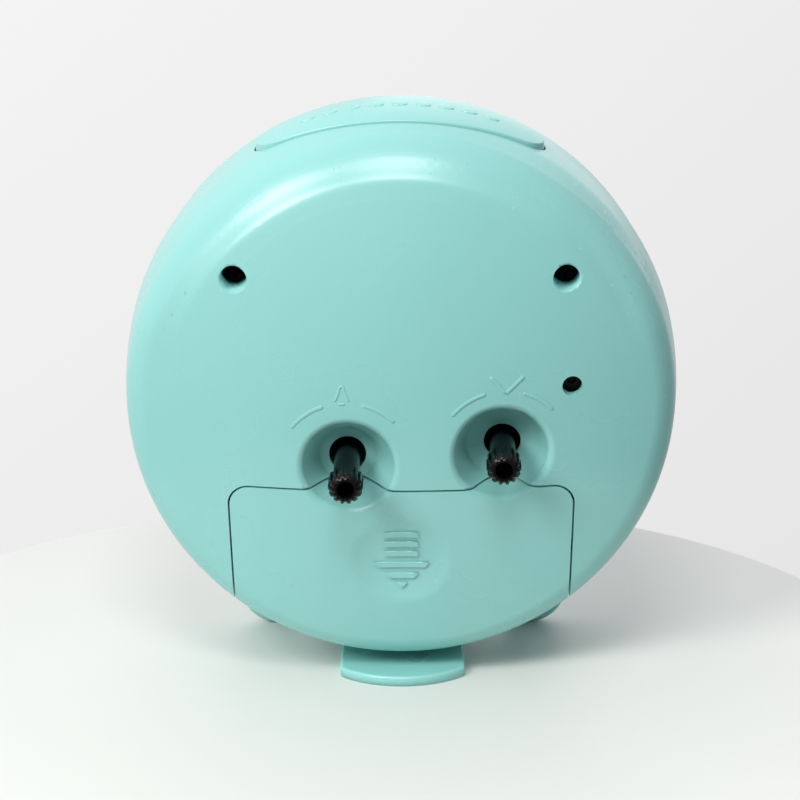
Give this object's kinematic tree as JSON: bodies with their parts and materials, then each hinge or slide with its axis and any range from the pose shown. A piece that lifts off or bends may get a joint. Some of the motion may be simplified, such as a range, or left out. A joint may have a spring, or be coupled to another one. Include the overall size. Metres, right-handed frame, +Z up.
{
  "type": "alarm clock with night light",
  "caption": "Round children's bedside alarm clock with night light: domed pale turquoise case, push bar on top, small feet, two long setting knobs and a sliding battery door at the back.",
  "frame": {"origin": "middle of the rear foot's underside on the table, below the hand axis' bearing in the case", "axes": "+Z up, the dial faces -Y and the knobs and battery door face +Y, +X is to the right seen from the front; the case leans back 2 degrees"},
  "size_m": [0.11, 0.0599, 0.1153],
  "materials": {
    "case_plastic": "fine moulded satin",
    "lens_plastic": "clear polished sheet",
    "white_plastic": "moulded satin",
    "dial_print": "printed translucent sheet",
    "opal_plastic": "opal, light-passing",
    "circuit_laminate": "solder mask",
    "diode_resin": "resin",
    "black_knob_plastic": "moulded gloss",
    "black_plastic": "moulded",
    "movement_plastic": "moulded",
    "wheel_plastic": "natural acetal",
    "hand_metal": "painted",
    "alarm_hand_metal": "painted",
    "second_hand_metal": "painted",
    "magnet": "sintered",
    "core_steel": "annealed sheet",
    "coil_copper": "enamelled wire",
    "screw_steel": "blackened",
    "spring_steel": "nickel plated",
    "cell_sleeve": "plain film sleeve"
  },
  "bodies": {
    "case": {"front_housing": "case_plastic", "rear_shell": "case_plastic", "bezel_ring": "case_plastic", "lens": "lens_plastic", "dial_ring": "white_plastic", "dial": "dial_print", "diffuser": "opal_plastic", "light_board": "circuit_laminate", "switch_board": "circuit_laminate", "circuit_board": "circuit_laminate", "light_diodes": "diode_resin", "switch_body": "black_plastic", "buzzer": "black_plastic", "movement_plate": "movement_plastic", "movement_cover": "movement_plastic", "movement_bridge": "movement_plastic", "stator": "core_steel", "motor_coil": "coil_copper", "case_screws": "screw_steel", "bar_springs": "spring_steel", "contact_bridge": "spring_steel", "contact_positive": "spring_steel", "contact_negative": "spring_steel", "cell_upper": "cell_sleeve", "cell_lower": "cell_sleeve"},
    "bar": {"push_bar": "case_plastic"},
    "plunger": {"switch_plunger": "black_plastic"},
    "door": {"battery_door": "case_plastic"},
    "time_setting": {"time_shaft": "wheel_plastic", "time_knob": "black_knob_plastic"},
    "minutes": {"minute_wheel": "wheel_plastic", "minute_hand": "hand_metal"},
    "motion_work": {"motion_wheel": "wheel_plastic"},
    "hours": {"hour_wheel": "wheel_plastic", "hour_hand": "hand_metal"},
    "alarm_setting": {"alarm_shaft": "wheel_plastic", "alarm_knob": "black_knob_plastic"},
    "alarm": {"alarm_wheel": "wheel_plastic", "alarm_hand": "alarm_hand_metal"},
    "seconds": {"second_wheel": "wheel_plastic", "second_hand": "second_hand_metal"},
    "train": {"train_wheel": "wheel_plastic"},
    "rotor": {"step_rotor": "magnet"}
  },
  "joints": [
    {"name": "bar_press", "type": "slide", "parent": "case", "child": "bar", "axis": [0, -0.0349, -0.9994], "range_m": [0, 0.0012], "stiffness_N_per_m": 400, "springref_m": -0.0012, "deforming": ["bar_springs"]},
    {"name": "switch_press", "type": "slide", "parent": "case", "child": "plunger", "axis": [0, -0.0349, -0.9994], "range_m": [0, 0.0012]},
    {"name": "door_slide", "type": "slide", "parent": "case", "child": "door", "axis": [0, -0.0349, -0.9994], "range_m": [0, 0.0016]},
    {"name": "time_set", "type": "hinge", "parent": "case", "child": "time_setting", "pos_m": [-0.0199, 0.01971, 0.0504], "axis": [0, 0.9994, -0.0349], "continuous": true},
    {"name": "minute_turn", "type": "hinge", "parent": "case", "child": "minutes", "pos_m": [0, 0, 0.059], "axis": [0, 0.9994, -0.0349], "continuous": true},
    {"name": "motion_turn", "type": "hinge", "parent": "case", "child": "motion_work", "pos_m": [0.0113, 0.00028, 0.06691], "axis": [0, 0.9994, -0.0349], "continuous": true},
    {"name": "hour_turn", "type": "hinge", "parent": "case", "child": "hours", "pos_m": [0, 0, 0.059], "axis": [0, 0.9994, -0.0349], "continuous": true},
    {"name": "alarm_set", "type": "hinge", "parent": "case", "child": "alarm_setting", "pos_m": [0.0105, 0.01963, 0.0479], "axis": [0, 0.9994, -0.0349], "continuous": true},
    {"name": "alarm_turn", "type": "hinge", "parent": "case", "child": "alarm", "pos_m": [0, 0, 0.059], "axis": [0, 0.9994, -0.0349], "continuous": true},
    {"name": "rotor_turn", "type": "hinge", "parent": "case", "child": "rotor", "pos_m": [-0.01269, 0.00016, 0.06361], "axis": [0, 0.9994, -0.0349], "continuous": true},
    {"name": "train_turn", "type": "hinge", "parent": "case", "child": "train", "pos_m": [-0.00799, 0.0001, 0.06191], "axis": [0, 0.9994, -0.0349], "continuous": true},
    {"name": "second_turn", "type": "hinge", "parent": "case", "child": "seconds", "pos_m": [0, 0, 0.059], "axis": [0, 0.9994, -0.0349], "continuous": true}
  ],
  "couplings": [
    {"joint": "switch_press", "follows": "bar_press", "ratio": 1},
    {"joint": "minute_turn", "follows": "time_set", "ratio": -0.75},
    {"joint": "motion_turn", "follows": "time_set", "ratio": 0.25},
    {"joint": "hour_turn", "follows": "time_set", "ratio": -0.0625},
    {"joint": "alarm_turn", "follows": "alarm_set", "ratio": -0.33333},
    {"joint": "train_turn", "follows": "rotor_turn", "ratio": -0.25},
    {"joint": "second_turn", "follows": "rotor_turn", "ratio": 0.033333}
  ]
}
